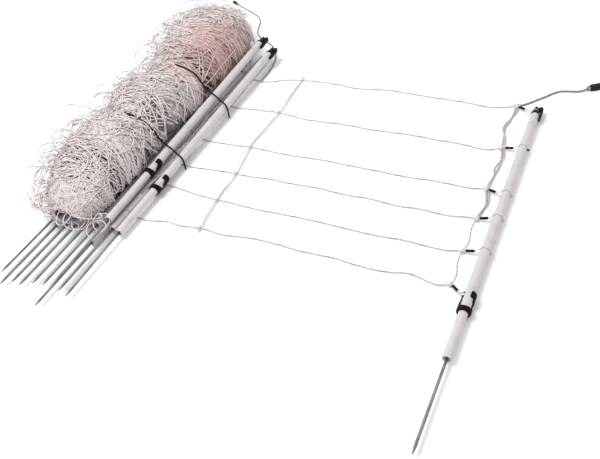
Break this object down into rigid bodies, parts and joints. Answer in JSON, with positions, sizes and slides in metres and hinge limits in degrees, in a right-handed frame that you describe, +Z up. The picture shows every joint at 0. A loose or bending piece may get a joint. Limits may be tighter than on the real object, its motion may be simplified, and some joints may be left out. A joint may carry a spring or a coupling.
{
  "type": "electric fence netting",
  "caption": "Electric fence netting, partly laid out: strands and an edge cord tied to a spiked end post, and the rest heaped on its bundle of spiked tube posts.",
  "frame": {"origin": "on the floor, under the middle of the box round the posts, the heap of net, the stay and the ties", "axes": "+Z up; the posts lie along Y with their caps to +Y and spikes to -Y; the strands run along X, with the end post on the +X side and the bundle on the -X side"},
  "size_m": [1.1373, 1.3173, 0.138],
  "materials": {
    "post_plastic": "white hard plastic tube, satin, a little scuffed",
    "black_plastic": "black moulded plastic, satin",
    "spike_steel": "zinc-plated steel rod, dull grey",
    "net_strand": "off-white twisted plastic twine with fine bright wires",
    "stay_plastic": "milky white flexible plastic strip",
    "tie_cord": "black braided cord, matt",
    "connector": "dark brown-black moulded plastic with a grey crimp"
  },
  "bodies": {
    "root": {"end_post_upper_tube": "post_plastic", "end_post_lower_tube": "post_plastic", "end_post_spike": "spike_steel", "end_post_cap": "black_plastic", "end_post_clip": "black_plastic", "post_1_upper_tube": "post_plastic", "post_1_lower_tube": "post_plastic", "post_1_spike": "spike_steel", "post_1_cap": "black_plastic", "post_1_clip": "black_plastic", "post_2_upper_tube": "post_plastic", "post_2_lower_tube": "post_plastic", "post_2_spike": "spike_steel", "post_2_cap": "black_plastic", "post_2_clip": "black_plastic", "post_3_tube": "post_plastic", "post_3_spike": "spike_steel", "post_4_tube": "post_plastic", "post_4_spike": "spike_steel", "post_5_tube": "post_plastic", "post_5_spike": "spike_steel", "post_6_upper_tube": "post_plastic", "post_6_lower_tube": "post_plastic", "post_6_spike": "spike_steel", "post_6_clip": "black_plastic", "post_7_tube": "post_plastic", "post_7_spike": "spike_steel", "post_8_tube": "post_plastic", "post_8_spike": "spike_steel", "post_9_tube": "post_plastic", "post_9_spike": "spike_steel", "post_10_tube": "post_plastic", "post_10_spike": "spike_steel", "net_heap": "net_strand", "edge_cord": "net_strand", "strand_1": "net_strand", "sleeve_1": "black_plastic", "strand_2": "net_strand", "sleeve_2": "black_plastic", "strand_3": "net_strand", "sleeve_3": "black_plastic", "strand_4": "net_strand", "sleeve_4": "black_plastic", "strand_5": "net_strand", "sleeve_5": "black_plastic", "strand_6": "net_strand", "sleeve_6": "black_plastic", "stay": "stay_plastic", "tail_right": "net_strand", "tail_right_connector": "connector", "tail_left": "net_strand", "tail_left_connector": "connector", "bundle_tie_1": "tie_cord", "bundle_tie_2": "tie_cord"}
  },
  "joints": []
}
